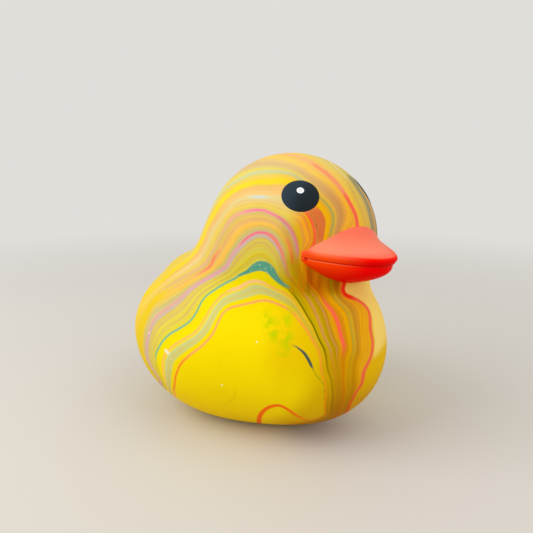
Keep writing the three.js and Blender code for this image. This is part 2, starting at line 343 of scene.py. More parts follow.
def sheet_field(points):
    """The sheet of colour at each point, how many go by to the millimetre, and its share of the waves.

    The sheets at the stripes' places are carried over the skin by a sum of square roots of
    distance squared plus ease squared about those places, plus a plane, solved with a little
    slack. The side that the photograph doesn't show takes the same places, mirrored and shifted,
    and sines are added to the outer sheets there. The rate is the slope of it all along the skin.
    """
    near = np.vstack([under_pixel(pixels) for _, pixels in STRIPES.values()])
    sheets = np.concatenate([np.full(len(pixels), sheet) for sheet, pixels in STRIPES.values()])
    far = onto_skin(near * (1, -1, 1) + np.array(FAR_SIDE_SHIFT))
    hidden = (facing_lens(far) < FAR_SIDE_FACING) & (far[:, 1] > FAR_SIDE_ASIDE)
    unseen = onto_skin(np.vstack([np.array(spots, float) for _, spots in UNSEEN.values()]))
    unseen_sheets = np.concatenate([np.full(len(spots), sheet) for sheet, spots in UNSEEN.values()])
    places = np.vstack([near, far[hidden], unseen])

    def spread(a, b):
        """Square root of distance squared plus ease squared, from each of a to each of b."""
        return np.sqrt(((a[:, None] - b[None]) ** 2).sum(-1) + STRIPE_EASE**2)

    plane = np.hstack([np.ones((len(places), 1)), places])
    terms = plane.shape[1]
    bends = spread(places, places) - STRIPE_SLACK * np.eye(len(places))
    wanted = np.concatenate([sheets, sheets[hidden], unseen_sheets, np.zeros(terms)])
    weights = np.linalg.solve(np.block([[bends, plane], [plane.T, np.zeros((terms, terms))]]), wanted)
    bend, base, tilt = weights[:-terms], weights[-terms], weights[1 - terms :]
    sheet, rate, waved = [], [], []
    for batch in np.array_split(points, FIELD_BATCHES):
        away = spread(batch, places)
        level = away @ bend + base + batch @ tilt
        pull = bend / away
        slope = batch * pull.sum(1, keepdims=True) - pull @ places + tilt
        share = np.clip((WAVE_FACING - facing_lens(batch)) / WAVE_FACING_FADE, 0, 1)
        share = share * np.clip((level - WAVE_SHEET) / WAVE_SHEET_FADE, 0, 1)
        for way, start, tall in WAVES:
            angle = batch @ np.array(way) + start
            level = level + tall * share * np.sin(angle)
            slope = slope + tall * (share * np.cos(angle))[:, None] * np.array(way)
        out = steepest(batch)
        slope = slope - out * (slope * out).sum(-1, keepdims=True)
        sheet.append(level)
        rate.append(np.linalg.norm(slope, axis=-1))
        waved.append(share)
    return np.concatenate(sheet), np.concatenate(rate), np.concatenate(waved)


# Streaks that lie across the sheets or are richer than their sheet: knots along each one, which are a
# pixel and the half-width there in millimetres. The arc between two knots has so many steps.
STREAKS = {
    "teal_peak": [
        (238, 276, 0.3), (247, 272, 0.65), (255, 267.5, 1.3), (262, 266, 1.75), (269, 269, 1.6),
        (275, 276.5, 1.05), (282, 283.5, 0.6), (290, 288, 0.2),
    ],
    "smudge": [
        (266, 317, 1.3), (271, 326, 1.9), (274, 334, 1.7), (282, 336, 1.8), (288, 341, 1.6),
        (283, 351, 1.0),
    ],
    "second_smudge": [(289, 310, 0.8), (287, 320, 1.5), (282, 331, 1.4)],
    "leaf": [
        (291, 344, 0.1), (298, 348, 0.28), (304, 353, 0.45), (308, 359, 0.5), (311, 365, 0.45),
        (313, 369, 0.25),
    ],
    "leaf_stalk": [(313, 369, 0.25), (316, 375, 0.2), (321, 381, 0.2), (324, 386, 0.2), (324, 400, 0.1)],
    "loop": [
        (259, 426, 0.85), (259.5, 417, 0.8), (264, 410.5, 0.72), (271, 406.5, 0.68), (279, 405.5, 0.68),
        (287, 409, 0.62), (298, 416.5, 0.48), (309, 421, 0.2),
    ],
    "coral_spot": [
        (221, 247, 0.1), (216, 255, 0.5), (213, 260, 0.7), (210, 266, 0.6), (203, 271, 0.4),
        (194, 275, 0.1),
    ],
    "blue": [(247, 197, 0.1), (255, 197, 0.45), (262, 197, 0.5), (269, 198, 0.1)],
    "dark_vein": [(310, 213, 0.1), (315, 222, 0.15), (318, 233, 0.15), (318, 241, 0.1)],
    "fold": [(236, 390, 0.2), (234, 398, 0.4), (229, 403, 0.4), (222, 407, 0.2)],
}
ARC_STEPS = 5
# The largest pale specks, some of them painted glints: the pixel of each one and its radius in
# millimetres.
PALE_SPECKS_AND_GLINTS = {
    (149, 333): 0.45,
    (166, 351): 0.95,
    (168, 353): 0.9,
    (257, 342): 0.35,
    (222, 385): 0.4,
    (171, 359): 0.3,
}


def eased(knots):
    """Points on arcs through knots.

    On each length it is the cubic that leaves either end along the way between that end's neighbours.
    """
    knots = np.array(knots, float)
    slopes = np.gradient(knots, axis=0)
    share = np.arange(ARC_STEPS)[:, None] / ARC_STEPS
    square, cube = share**2, share**3
    lengths = []
    for start, end, leaving, arriving in zip(knots[:-1], knots[1:], slopes[:-1], slopes[1:]):
        between = start * (2 * cube - 3 * square + 1) + end * (3 * square - 2 * cube)
        lengths.append(between + leaving * (cube - 2 * square + share) + arriving * (cube - square))
    return np.vstack([*lengths, knots[-1:]])


def streak_edge(points, knots):
    """Distance from points to the edge of a streak, negative inside it.

    The streak follows the skin under arcs through its knots, and its half-width changes evenly
    from one point of them to the next, so the distance is the least, over its lengths, of how far
    the length is less half-width.
    """
    drawn = eased(knots)
    path, widths = under_pixel(drawn[:, :2]), drawn[:, 2]
    edge = np.full(len(points), np.inf)
    for start, end, first, last in zip(path[:-1], path[1:], widths[:-1], widths[1:]):
        along = np.clip((points - start) @ (end - start) / ((end - start) @ (end - start)), 0, 1)
        away = np.linalg.norm(points - start - along[:, None] * (end - start), axis=-1)
        edge = np.minimum(edge, away - first - (last - first) * along)
    return edge


def keep_field(piece, name, values):
    """Keeps one value for each point of a piece under a name that its finish reads."""
    piece.data.attributes.new(name, "FLOAT", "POINT").data.foreach_set("value", values)


skin_points = np.empty(len(skin.data.vertices) * 3)
skin.data.vertices.foreach_get("co", skin_points)
skin_points = skin_points.reshape(-1, 3) / MM
for name, values in zip(("sheet", "rate", "unseen"), sheet_field(skin_points)):
    keep_field(skin, name, values)
for name, knots in STREAKS.items():
    keep_field(skin, name, streak_edge(skin_points, knots))


def tint(red, green, blue):
    """A colour of 0 to 255 as the eye sees it, by the sRGB curve to the linear light that nodes take."""
    share = np.array([red, green, blue]) / 255
    linear = np.where(share <= 0.04045, share / 12.92, ((share + 0.055) / 1.055) ** 2.4)
    return (*linear.tolist(), 1.0)


class Strand:
    """A socket of a finish. Arithmetic on it adds Math nodes, and node() adds any other node."""

    def __init__(self, tree, socket=None):
        self.tree = tree
        self.socket = socket

    def node(self, kind, settings=None, sockets=None, output=0):
        """One output of a new node, whose settings are set before its sockets get values or links."""
        made = self.tree.nodes.new(kind)
        for name, value in (settings or {}).items():
            if name == "stops":
                elements = made.color_ramp.elements
                for place, colour in value[1:-1]:
                    elements.new(place).color = colour
                for element, (place, colour) in ((elements[0], value[0]), (elements[-1], value[-1])):
                    element.position = place
                    element.color = colour
            else:
                setattr(made, name, value)
        for name, value in (sockets or {}).items():
            if isinstance(value, Strand):
                self.tree.links.new(value.socket, made.inputs[name])
            else:
                made.inputs[name].default_value = value
        return Strand(self.tree, made.outputs[output] if made.outputs else None)

    def math(self, operation, first, second):
        """What a Math node makes of two values."""
        return self.node("ShaderNodeMath", {"operation": operation}, {0: first, 1: second})

    def __add__(self, other):
        return self.math("ADD", self, other)

    def __radd__(self, other):
        return self.math("ADD", other, self)

    def __sub__(self, other):
        return self.math("SUBTRACT", self, other)

    def __rsub__(self, other):
        return self.math("SUBTRACT", other, self)

    def __mul__(self, other):
        return self.math("MULTIPLY", self, other)

    def __rmul__(self, other):
        return self.math("MULTIPLY", other, self)

    def __truediv__(self, other):
        return self.math("DIVIDE", self, other)

    def __rtruediv__(self, other):
        return self.math("DIVIDE", other, self)

    def __abs__(self):
        return self.math("ABSOLUTE", self, 0.0)


def rise(value, low, high, unit=1.0):
    """0 where a value is at low, 1 where it is at high, and an S-curve between them."""
    sockets = {"Value": value, "From Min": low * unit, "From Max": high * unit}
    return value.node("ShaderNodeMapRange", {"interpolation_type": "SMOOTHSTEP"}, sockets)


# Places of the Mix node's two colours among its inputs, and of its colour among its outputs.
MIX_FIRST = 6
MIX_SECOND = 7
MIX_RESULT = 2


def mixed(share, first, second, way="MIX"):
    """The first colour where the share is 0 and the second, laid over it in some way, where it is 1."""
    settings = {"data_type": "RGBA", "blend_type": way}
    sockets = {0: share, MIX_FIRST: first, MIX_SECOND: second}
    return share.node("ShaderNodeMix", settings, sockets, MIX_RESULT)


def glazed(share, colour, glaze):
    """A colour that keeps only the glaze's part of its red, green and blue light where the share is 1."""
    return mixed(share, colour, (*glaze, 1.0), "MULTIPLY")


def ramp(value, stops):
    """Colours in a row over a value from 0 to 1, each stop being a place and a colour of 0 to 255."""
    stops = [(place, tint(*colour)) for place, colour in stops]
    return value.node("ShaderNodeValToRGB", {"stops": stops}, {0: value})


def grain(place, scale, detail=2.0, roughness=0.5):
    """Smooth noise from 0 to 1 with so many lumps to the metre."""
    sockets = {"Vector": place, "Scale": scale, "Detail": detail, "Roughness": roughness}
    return place.node("ShaderNodeTexNoise", {"noise_dimensions": "3D"}, sockets)


def drawn_grain(first, second, third, detail=2.0, roughness=0.5):
    """Smooth noise over three values, drawn out along the skin where they change slowly."""
    place = first.node("ShaderNodeCombineXYZ", {}, {0: first, 1: second, 2: third})
    return grain(place, 1.0, detail, roughness)


def coordinate(place, axis):
    """How far ahead, aside or up a place is, in metres, for axis 0, 1 or 2."""
    return place.node("ShaderNodeSeparateXYZ", {}, {0: place}, axis)


def distance_to(place, spot):
    """How far a place is, in metres, from a spot given in millimetres."""
    spot = tuple((np.array(spot) * MM).tolist())
    return place.node("ShaderNodeVectorMath", {"operation": "DISTANCE"}, {0: place, 1: spot}, "Value")


def from_pixel(place, pixel):
    """How far a place is, in metres, from the skin under a pixel of the photograph."""
    return distance_to(place, under_pixel([pixel])[0])


def field(place, name):
    """The value that a piece keeps under a name."""
    return place.node("ShaderNodeAttribute", {"attribute_name": name}, output="Fac")


def new_finish(name):
    """An empty material, and the place on the piece that its nodes start from."""
    material = bpy.data.materials.new(name)
    material.use_nodes = True
    material.node_tree.nodes.clear()
    start = Strand(material.node_tree)
    return material, start.node("ShaderNodeTexCoord", output="Object")


RELIEF_STRENGTH = 0.5


def close_finish(place, colour, roughness, gloss, height):
    """Ends a material in one shader, with so much gloss and its skin lifted by height in millimetres."""
    relief = {"Strength": RELIEF_STRENGTH, "Distance": MM, "Height": height}
    lifted = place.node("ShaderNodeBump", {}, relief)
    sockets = {"Base Color": colour, "Roughness": roughness, "Specular IOR Level": gloss}
    shader = place.node("ShaderNodeBsdfPrincipled", {}, {**sockets, "Normal": lifted})
    place.node("ShaderNodeOutputMaterial", {}, {"Surface": shader})


# Colours of the sheets: the sheet, its colour on the flank and the back, and then its colour on the
# front, which is the cheek, the throat and the breast. The front's colours are darker and warmer, partly
# from the front's own marbling and partly as painted shade.
SHEETS = [
    (0.0, (249, 223, 0), (234, 196, 0)),
    (1.4, (249, 222, 0), (232, 184, 0)),
    (1.54, (216, 213, 104), (222, 184, 0)),
    (1.64, (202, 211, 132), (218, 180, 2)),
    (1.78, (214, 205, 116), (214, 176, 4)),
    (1.96, (219, 202, 110), (216, 178, 4)),
    (2.16, (208, 207, 130), (218, 178, 4)),
    (2.36, (206, 213, 142), (228, 182, 2)),
    (2.5, (226, 216, 98), (232, 186, 2)),
    (2.62, (246, 220, 52), (230, 184, 2)),
    (2.9, (250, 224, 12), (222, 180, 2)),
    (3.2, (247, 224, 4), (214, 176, 0)),
    (3.5, (244, 224, 2), (190, 160, 0)),
    (3.75, (242, 222, 6), (178, 152, 0)),
    (4.0, (238, 218, 20), (186, 160, 0)),
    (4.2, (230, 212, 40), (200, 174, 0)),
    (4.3, (222, 204, 60), (204, 174, 0)),
    (4.4, (212, 194, 68), (202, 172, 0)),
    (4.55, (212, 180, 54), (194, 164, 0)),
    (4.7, (212, 184, 26), (200, 170, 0)),
    (4.8, (226, 203, 8), (208, 176, 0)),
    (4.9, (226, 208, 34), (212, 180, 0)),
    (5.0, (208, 203, 72), (212, 180, 0)),
    (5.1, (220, 203, 60), (214, 180, 2)),
    (5.21, (215, 188, 70), (216, 180, 4)),
    (5.32, (213, 178, 86), (210, 172, 8)),
    (5.45, (209, 178, 82), (208, 164, 18)),
    (5.6, (219, 192, 76), (208, 158, 40)),
    (5.7, (221, 198, 78), (206, 154, 56)),
    (5.82, (204, 182, 118), (204, 150, 66)),
    (6.36, (202, 186, 132), (212, 162, 42)),
    (6.5, (204, 186, 112), (202, 166, 22)),
    (6.67, (220, 190, 96), (198, 166, 6)),
    (6.76, (234, 186, 82), (194, 162, 2)),
    (6.9, (247, 194, 76), (190, 156, 0)),
    (7.0, (247, 192, 80), (190, 156, 0)),
    (7.1, (240, 188, 94), (192, 156, 2)),
    (7.27, (224, 176, 112), (190, 152, 8)),
    (7.35, (230, 180, 102), (196, 150, 20)),
    (7.51, (230, 193, 98), (198, 148, 36)),
    (7.66, (220, 188, 98), (206, 146, 70)),
    (7.81, (216, 184, 120), (204, 150, 50)),
    (7.92, (224, 176, 134), (208, 150, 40)),
    (8.1, (228, 186, 118), (214, 152, 64)),
    (8.17, (219, 193, 102), (216, 174, 30)),
    (8.27, (224, 199, 90), (228, 174, 22)),
    (8.31, (228, 201, 88), (224, 160, 48)),
    (8.34, (230, 202, 88), (228, 150, 60)),
    (8.36, (232, 202, 90), (244, 166, 36)),
    (8.4, (233, 202, 92), (246, 168, 28)),
    (8.43, (233, 201, 94), (238, 138, 58)),
    (8.47, (232, 200, 98), (230, 142, 44)),
    (8.5, (231, 200, 102), (236, 160, 14)),
    (8.57, (231, 199, 108), (240, 160, 12)),
    (8.64, (230, 197, 122), (232, 126, 54)),
    (8.8, (228, 200, 130), (218, 126, 60)),
    (8.94, (226, 206, 138), (228, 138, 64)),
    (9.1, (226, 206, 140), (228, 142, 60)),
    (9.2, (242, 196, 124), (228, 142, 56)),
    (9.5, (238, 192, 116), (230, 152, 40)),
    (9.72, (233, 185, 110), (234, 166, 20)),
    (9.85, (232, 193, 94), (236, 172, 12)),
    (9.95, (235, 206, 72), (238, 176, 8)),
    (10.04, (240, 212, 44), (240, 178, 8)),
    (10.25, (247, 215, 34), (242, 176, 10)),
    (10.4, (246, 210, 60), (240, 172, 20)),
    (10.56, (244, 201, 90), (230, 166, 34)),
    (10.66, (238, 205, 88), (218, 166, 40)),
    (10.8, (214, 202, 118), (214, 172, 56)),
    (11.17, (220, 207, 120), (226, 178, 60)),
    (11.4, (225, 208, 98), (232, 180, 62)),
    (11.52, (220, 202, 114), (224, 170, 72)),
    (11.66, (222, 192, 132), (214, 160, 82)),
    (11.9, (219, 185, 122), (210, 152, 84)),
    (12.12, (219, 186, 126), (212, 154, 82)),
    (12.3, (226, 194, 124), (220, 158, 76)),
    (12.5, (234, 195, 114), (240, 168, 66)),
    (12.66, (245, 206, 92), (250, 184, 50)),
    (12.84, (240, 196, 104), (246, 178, 56)),
    (13.2, (246, 198, 106), (252, 190, 66)),
    (13.36, (238, 206, 92), (246, 198, 62)),
    (13.54, (232, 206, 124), (238, 192, 70)),
    (13.7, (228, 202, 100), (230, 192, 70)),
    (13.84, (232, 206, 124), (228, 186, 84)),
    (14.1, (218, 200, 108), (230, 192, 80)),
    (14.3, (214, 194, 104), (220, 184, 88)),
    (14.8, (216, 174, 108), (214, 162, 94)),
    (15.3, (216, 174, 108), (214, 162, 94)),
]
# Runs of sheets, each with few enough colours for one ramp, and half the seam between two runs.
SHEET_RUNS = ((0.0, 4.2), (4.2, 6.9), (6.9, 8.4), (8.4, 10.4), (10.4, 15.3))
RUN_SEAM = 0.01
# A slight wave in the sheets' edges: its height in sheets and its lumps to the metre.
EDGE_WAVE = 0.1
EDGE_WAVE_LUMPS = 140

# Thin lines along the sheets: the sheet, then half-width in millimetres and colour on the flank, then
# both on the front.
LINES = [
    (1.0, 0.4, (253, 176, 96), 0.34, (244, 164, 10)),
    (2.9, 0.4, (254, 196, 92), 0.0, (216, 178, 2)),
    (3.66, 0.0, (243, 223, 4), 0.26, (162, 138, 0)),
    (4.0, 0.38, (122, 184, 148), 0.0, (200, 172, 0)),
    (5.95, 0.5, (202, 178, 168), 0.22, (196, 150, 84)),
    (6.17, 0.38, (228, 158, 166), 0.2, (212, 150, 70)),
    (7.68, 0.0, (212, 184, 112), 0.28, (202, 146, 68)),
    (11.0, 0.55, (200, 206, 160), 0.3, (190, 162, 50)),
    (13.0, 0.8, (246, 184, 128), 0.6, (250, 106, 72)),
]
# Stretches of those lines in a colour of their own: the sheet, half-width, colour, and the pixel
# that the stretch is centred on with its reach in millimetres.
STRETCHES = [
    (1.0, 0.38, (255, 150, 20), (180, 380), 14),
    (2.9, 0.5, (254, 202, 138), (246, 284), 9),
    (3.66, 0.2, (112, 104, 0), (315, 327), 18),
    (4.0, 0.55, (222, 204, 24), (156, 374), 11),
    (6.17, 0.38, (242, 118, 134), (260, 235), 10),
    (6.1, 0.38, (244, 136, 108), (277, 246), 6),
    (7.16, 0.45, (240, 134, 72), (290, 251), 5),
    (7.9, 0.4, (196, 164, 140), (291, 236), 8),
    (8.0, 0.5, (232, 172, 140), (238, 214), 9),
    (8.0, 0.36, (242, 132, 156), (266, 212), 10),
    (8.0, 0.36, (222, 128, 132), (290, 234), 9),
    (8.66, 0.4, (250, 98, 56), (314, 233), 9),
    (8.78, 0.5, (254, 104, 76), (339, 325), 11),
    (11.0, 0.42, (182, 166, 86), (332, 215), 8),
    (13.0, 0.8, (255, 104, 80), (354, 210), 10),
    (13.0, 1.0, (250, 154, 108), (330, 176), 10),
    (13.0, 0.75, (246, 52, 20), (344, 289), 6),
    (13.84, 0.4, (236, 222, 152), (334, 167), 8),
    (14.6, 1.9, (162, 153, 110), (366, 204), 24),
]
# A line's blur in millimetres, what each millimetre of its half-width adds to that, and the fewest
# sheets to the millimetre that its width is worked out with.
LINE_BLUR = 0.12
LINE_BLUR_SHARE = 0.4
LEAST_RATE = 0.04
# The pixel that the terracotta on the cheek is centred on.
TERRACOTTA_PIXEL = (321, 224)
# Where the front gives way to the flank, the back and the crown, as millimetres aside, ahead and up,
# and how far it is narrowed by the eye and by the patch. Each pair runs from the edge of a zone to
# where it is whole.
FRONT_ASIDE = (25, 18.5)
FRONT_AHEAD = (28, 40)
FRONT_UP = (98, 84)
BY_EYE_UP = (76, 86)
BY_EYE_NARROWING = 6
BY_PATCH_SHEETS = (4.0, 3.4)
BY_PATCH_NARROWING = 3.5
BELOW_BILL_UP = (72, 66)
# Colours of folds, hairs, stains and specks, with another for some of them on the front. The mellow ochre
# is partly painted shade, and some specks are painted glints.
FOLD_BRIGHT = tint(240, 212, 72)
FOLD_BRIGHT_FRONT = tint(246, 184, 12)
FOLD_DULL = tint(206, 178, 100)
FOLD_DULL_FRONT = tint(178, 116, 24)
HAIR_TAN = tint(211, 186, 112)
HAIR_YELLOW = tint(230, 214, 66)
TERRACOTTA = tint(222, 116, 56)
RUMP_YELLOW = tint(240, 203, 0)
RUMP_BAND = tint(228, 198, 0)
CREAM = tint(252, 218, 108)
CREAM_BELOW_TIDE = tint(236, 188, 0)
THREAD_OCHRE = tint(214, 126, 0)
MELLOW_OCHRE_AND_SHADE = tint(208, 146, 0)
SPECK_CREAM_AND_GLINT = tint(246, 240, 216)
# Glazes: the parts of the red, green and blue light under each one that it lets through. Several of them
# are painted shade, wholly or in part.
FOOT_PAINTED_SHADE = (1.0, 0.78, 0.2)
BREAST_GLAZE_AND_SHADE = (0.92, 0.9, 0.1)
UNDER_BILL_SHADE_GLAZE = (0.84, 0.56, 0.06)
PATCH_FRONT_SHADE_GLAZE = (0.9, 0.78, 0.3)
THROAT_GLAZE_AND_SHADE = (0.9, 0.88, 0.03)
THREAD_GLAZE = (0.7, 0.62, 0.2)
MELLOW_GLAZE = (1.0, 1.0, 0.15)
UNDERSIDE_PAINTED_SHADE = (0.75, 0.62, 0.02)
MOTTLE_GLAZE = (0.985, 0.95, 0.9)


def skin_fields(place):
    """What the marbling goes by at a place on the skin.

    That is how far ahead, aside and up it is, its sheet, the sheet with a slight wave in it, and how
    many sheets go by to the millimetre. It is also the front, which is 1 on the cheek, the throat
    and the breast and 0 on the flank. The edge between them is drawn in by the eye and by the patch.
    """
    at = SimpleNamespace(place=place, sheet=field(place, "sheet"))
    at.ahead, at.aside, at.height = [coordinate(place, axis) for axis in range(3)]
    by_eye = rise(at.height, *BY_EYE_UP, MM) * BY_EYE_NARROWING * MM
    by_patch = rise(at.sheet, *BY_PATCH_SHEETS) * BY_PATCH_NARROWING * MM
    front = rise(abs(at.aside) + by_eye + by_patch, *FRONT_ASIDE, MM) * rise(at.ahead, *FRONT_AHEAD, MM)
    at.front = front * rise(at.height, *FRONT_UP, MM)
    at.flank = 1.0 - at.front
    at.below_bill = rise(at.height, *BELOW_BILL_UP, MM)
    at.waved = at.sheet + (grain(place, EDGE_WAVE_LUMPS) - 0.5) * EDGE_WAVE
    at.rate = at.sheet.math("MAXIMUM", field(place, "rate"), LEAST_RATE)
    return at


def poured_sheets(at):
    """Colour by the sheet's number: a ramp over each run of sheets, for the flank and for the front."""
    sides = []
    for side in (1, 2):
        colour = None
        for low, high in SHEET_RUNS:
            length = high - low
            stops = [((row[0] - low) / length, row[side]) for row in SHEETS if low <= row[0] <= high]
            run = ramp((at.waved - low) / length, stops)
            colour = mixed(rise(at.waved, low - RUN_SEAM, low + RUN_SEAM), colour, run) if colour else run
        sides.append(colour)
    # The front's ramps carry some painted shade, darker and warmer than the flank's.
    return mixed(at.front, *sides)


def fine_folds(colour, at):
    """Brighter and duller folds along the outer sheets, and pale hairs between the teal and the pink."""
    fine = drawn_grain(at.waved * 6.5, at.ahead * 30, at.height * 30, detail=3.0, roughness=0.6)
    depth = rise(at.sheet, 4.3, 5.0) * (0.36 - at.front * 0.1)
    bright = mixed(at.front, FOLD_BRIGHT, FOLD_BRIGHT_FRONT)
    dull = mixed(at.front, FOLD_DULL, FOLD_DULL_FRONT)
    colour = mixed(rise(fine, 0.54, 0.66) * depth, colour, bright)
    colour = mixed(rise(fine, 0.46, 0.34) * depth, colour, dull)

    hairs = drawn_grain(at.waved * 13, at.ahead * 40, at.height * 40) - (at.waved - 4.8) * 0.14
    pale = mixed(rise(hairs, 0.38, 0.6), HAIR_TAN, HAIR_YELLOW)
    swath = rise(at.sheet, 4.15, 4.35) * rise(at.sheet, 5.8, 5.5) * at.flank
    return mixed(swath * (rise(at.height, 64, 50, MM) * 0.5 + 0.3), colour, pale)


def stains_and_painted_shade(colour, at):
    """Stains and painted shade that cover several sheets, each a colour or a glaze over one zone of the
    skin.
    """
    # Terracotta on the cheek, from the pale sheet outwards.
    cheek = rise(from_pixel(at.place, TERRACOTTA_PIXEL), 7, 4, MM)
    cheek = cheek * rise(at.sheet, 8.82, 8.95) * rise(at.sheet, 9.9, 9.75)
    colour = mixed(cheek, colour, TERRACOTTA)

    # Painted shade, warm and darker, towards the foot, and a deep yellow glaze on the breast that is a
    # little darker as painted shade.
    colour = glazed(rise(at.height, 30, 6, MM) * 0.5, colour, FOOT_PAINTED_SHADE)
    colour = glazed(at.front * rise(at.height, 66, 56, MM) * 0.9, colour, BREAST_GLAZE_AND_SHADE)

    # Yellow over the outer sheets of the rump, with a duller band along their inner edge.
    seen = 1.0 - field(at.place, "unseen")
    rump = rise(at.ahead, 2, -18, MM) * rise(at.sheet, 6.4, 7.0) * seen
    colour = mixed(rump * (rise(at.sheet, 9.6, 8.2) * 0.15 + 0.65), colour, RUMP_YELLOW)
    band = rise(at.ahead, 3, -5, MM) * rise(at.sheet, 6.6, 6.8) * rise(at.sheet, 7.9, 7.3) * seen
    colour = mixed(band * 0.8, colour, RUMP_BAND)

    # Painted shadow under the bill on the throat, warm orange as a painted reflection of the red bill.
    under_bill_shade = at.front * rise(abs(at.aside), 18.5, 15.5, MM) * rise(at.height, 54.5, 60, MM)
    colour = glazed(under_bill_shade * at.below_bill * 0.8, colour, UNDER_BILL_SHADE_GLAZE)

    # Cream down the far side of the breast, and yellow below a ragged tide.
    tide = at.height - at.aside * 0.12 + (grain(at.place, 90) - 0.5) * 6 * MM
    cream = mixed(rise(tide, 39.5, 34.5, MM), CREAM, CREAM_BELOW_TIDE)
    return mixed(rise(at.sheet, 13.02, 13.2) * rise(at.height, 62, 57, MM) * at.front, colour, cream)


def thin_lines(colour, at):
    """Lines along the sheets, and stretches of them in colours of their own.

    The way to a line's middle is how far the sheet's number is from the line's, over the sheets that
    go by to the millimetre. Its edge is blurred by its half-width on the flank. Lines fade where the
    sheets spread out towards the tail.
    """

    def drawn(level, half_here, half):
        """1 within a line's half-width here and 0 beyond it, with an S-curve over twice the blur."""
        blur = LINE_BLUR + LINE_BLUR_SHARE * half
        return rise(abs(at.waved - level) / at.rate - half_here, blur, -blur)

    steep = at.rate.math("MAXIMUM", rise(at.rate, 0.07, 0.14), rise(at.ahead, -4, 8, MM))
    for level, half, flank_shade, front_half, front_shade in LINES:
        line = drawn(level, at.front * (front_half - half) + half, half)
        colour = mixed(line * steep, colour, mixed(at.front, tint(*flank_shade), tint(*front_shade)))
    for level, half, shade, pixel, reach in STRETCHES:
        near = rise(from_pixel(at.place, pixel), reach, reach / 2, MM)
        colour = mixed(drawn(level, half, half) * near, colour, tint(*shade))
    return colour


def breast_glazes_and_shade(colour, at):
    """Painted shade at the front of the patch, ochre threads on the throat over a little painted shade, a
    darker, warmer breast below that is partly painted shade, and painted shade on the underside.
    """
    # Painted shade, a darker gold, at the front of the patch where it turns towards the breast.
    patch_front_shade = rise(at.ahead, 36, 49, MM) * rise(at.sheet, 3.6, 3.2) * at.flank
    colour = glazed(patch_front_shade * rise(at.height, 22, 38, MM), colour, PATCH_FRONT_SHADE_GLAZE)

    # Under the bill the throat takes a deep yellow glaze, a little darker as painted shade, with ochre
    # threads.
    throat = at.front * rise(at.height, 54, 58, MM) * at.below_bill * rise(at.sheet, 12.75, 12.5)
    threads = drawn_grain((at.ahead * 0.63 + at.aside * 0.78) * 420, at.height * 40, 0.0)
    colour = glazed(throat, colour, THROAT_GLAZE_AND_SHADE)
    colour = glazed(throat * rise(threads, 0.48, 0.36) * 0.7, colour, THREAD_GLAZE)
    colour = mixed(throat * rise(threads, 0.54, 0.66) * 0.5, colour, THREAD_OCHRE)

    # Lower on the breast the yellow turns a darker, warmer ochre, partly as painted shade.
    mellow_and_shade = at.front * rise(at.height, 43, 34, MM)
    mellow_and_shade = mellow_and_shade * rise(at.sheet, 2.5, 4.0) * rise(at.sheet, 12.8, 12.5)
    colour = glazed(mellow_and_shade, colour, MELLOW_GLAZE)
    colour = mixed(mellow_and_shade * 0.45, colour, MELLOW_OCHRE_AND_SHADE)
    # Painted shade on the underside of the breast, darkening it towards the foot.
    underside_shade = at.front * rise(at.height, 34, 15, MM) * rise(at.sheet, 0.3, 1.6)
    return glazed(underside_shade, colour, UNDERSIDE_PAINTED_SHADE)


def streaks_specks_and_glints(colour, at):
    """Streaks, each with its colour, its edge's softness in millimetres and its strength, and pale
    specks, some of them painted glints.
    """
    broken = rise(grain(at.place, 380, detail=3.0), 0.36, 0.6)
    speckle = rise(grain(at.place, 1100, detail=1.0), 0.56, 0.7)
    looks = {
        "teal_peak": (mixed(speckle * 0.6, tint(78, 158, 138), tint(160, 200, 160)), 0.25, 0.95),
        "smudge": (tint(180, 204, 0), 2.6, broken * 0.85),
        "second_smudge": (tint(186, 206, 0), 2.4, broken * 0.8),
        "leaf": (tint(58, 84, 80), 0.2, 0.95),
        "leaf_stalk": (tint(150, 150, 20), 0.2, 0.8),
        "loop": (tint(255, 98, 16), 0.3, 0.95),
        "coral_spot": (tint(255, 128, 96), 0.45, 0.9),
        "blue": (tint(200, 214, 212), 0.4, 0.9),
        "dark_vein": (tint(120, 84, 30), 0.2, 0.8),
        "fold": (tint(214, 186, 0), 0.5, 0.35),
    }
    for name, (shade, softness, strength) in looks.items():
        colour = mixed(rise(field(at.place, name), softness, -softness) * strength, colour, shade)
    ragged = (grain(at.place, 1500) - 0.5) * 0.6 * MM
    for pixel, size in PALE_SPECKS_AND_GLINTS.items():
        fleck = from_pixel(at.place, pixel) + ragged
        colour = mixed(rise(fleck, size, size / 2, MM) * 0.8, colour, SPECK_CREAM_AND_GLINT)
    return colour


def marbled_skin():
    """Foam poured in sheets, with each kind of mark laid over the last, painted shade among them, and a
    satin skin with pores.
    """
    finish, place = new_finish("marbled_skin")
    at = skin_fields(place)
    colour = poured_sheets(at)
    for mark in (fine_folds, stains_and_painted_shade, thin_lines, breast_glazes_and_shade, streaks_specks_and_glints):
        colour = mark(colour, at)
    mottle = rise(grain(place, 120, detail=3.0), 0.45, 0.7)
    colour = glazed(mottle * 0.6, colour, MOTTLE_GLAZE)
    pores = grain(place, 700, detail=4.0, roughness=0.6)
    dimples = grain(place, 90)
    roughness = 0.52 + (pores - 0.5) * 0.25
    close_finish(place, colour, roughness, gloss=0.02, height=pores * 0.04 + dimples * 0.2)
    return finish


skin.data.materials.append(marbled_skin())
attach(skin, "root")
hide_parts("duck")


